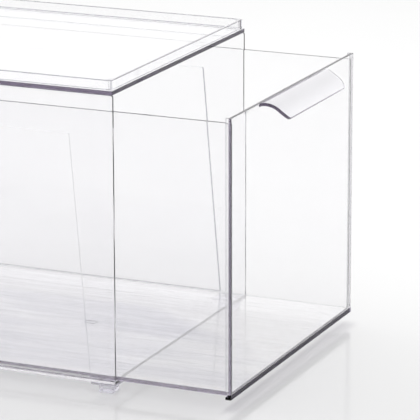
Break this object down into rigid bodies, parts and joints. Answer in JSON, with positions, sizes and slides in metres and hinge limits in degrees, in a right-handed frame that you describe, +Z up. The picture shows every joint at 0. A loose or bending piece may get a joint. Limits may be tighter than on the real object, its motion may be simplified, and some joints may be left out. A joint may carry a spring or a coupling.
{
  "type": "shoe box",
  "caption": "Clear stackable shoe box: open-fronted casing with raised rim and stepped feet, and a pull-out drawer with a curved pull lip.",
  "frame": {"origin": "on the surface the feet stand on, at the middle of the area the box covers with its drawer drawn out 76 mm", "axes": "+Z up, -Y the way the drawer pulls out, +X to the right of someone facing the drawer front"},
  "size_m": [0.21, 0.3928, 0.2063],
  "materials": {
    "clear_casing": "clear, polished",
    "clear_foot": "clear, polished",
    "clear_front": "clear, polished, thicker",
    "clear_drawer": "clear, polished"
  },
  "bodies": {
    "casing": {"casing_left_wall": "clear_casing", "casing_right_wall": "clear_casing", "casing_back_wall": "clear_casing", "casing_floor_slab": "clear_casing", "casing_top_slab": "clear_casing", "stacking_rim": "clear_casing", "front_left_foot": "clear_foot", "front_right_foot": "clear_foot", "rear_left_foot": "clear_foot", "rear_right_foot": "clear_foot"},
    "drawer": {"drawer_front_panel": "clear_front", "drawer_pull_lip": "clear_front", "drawer_left_side": "clear_drawer", "drawer_right_side": "clear_drawer", "drawer_back_wall": "clear_drawer", "drawer_floor": "clear_drawer"}
  },
  "joints": [
    {"name": "drawer_slide", "type": "slide", "parent": "casing", "child": "drawer", "axis": [0, -1, 0], "range_m": [-0.076, 0.15]}
  ]
}
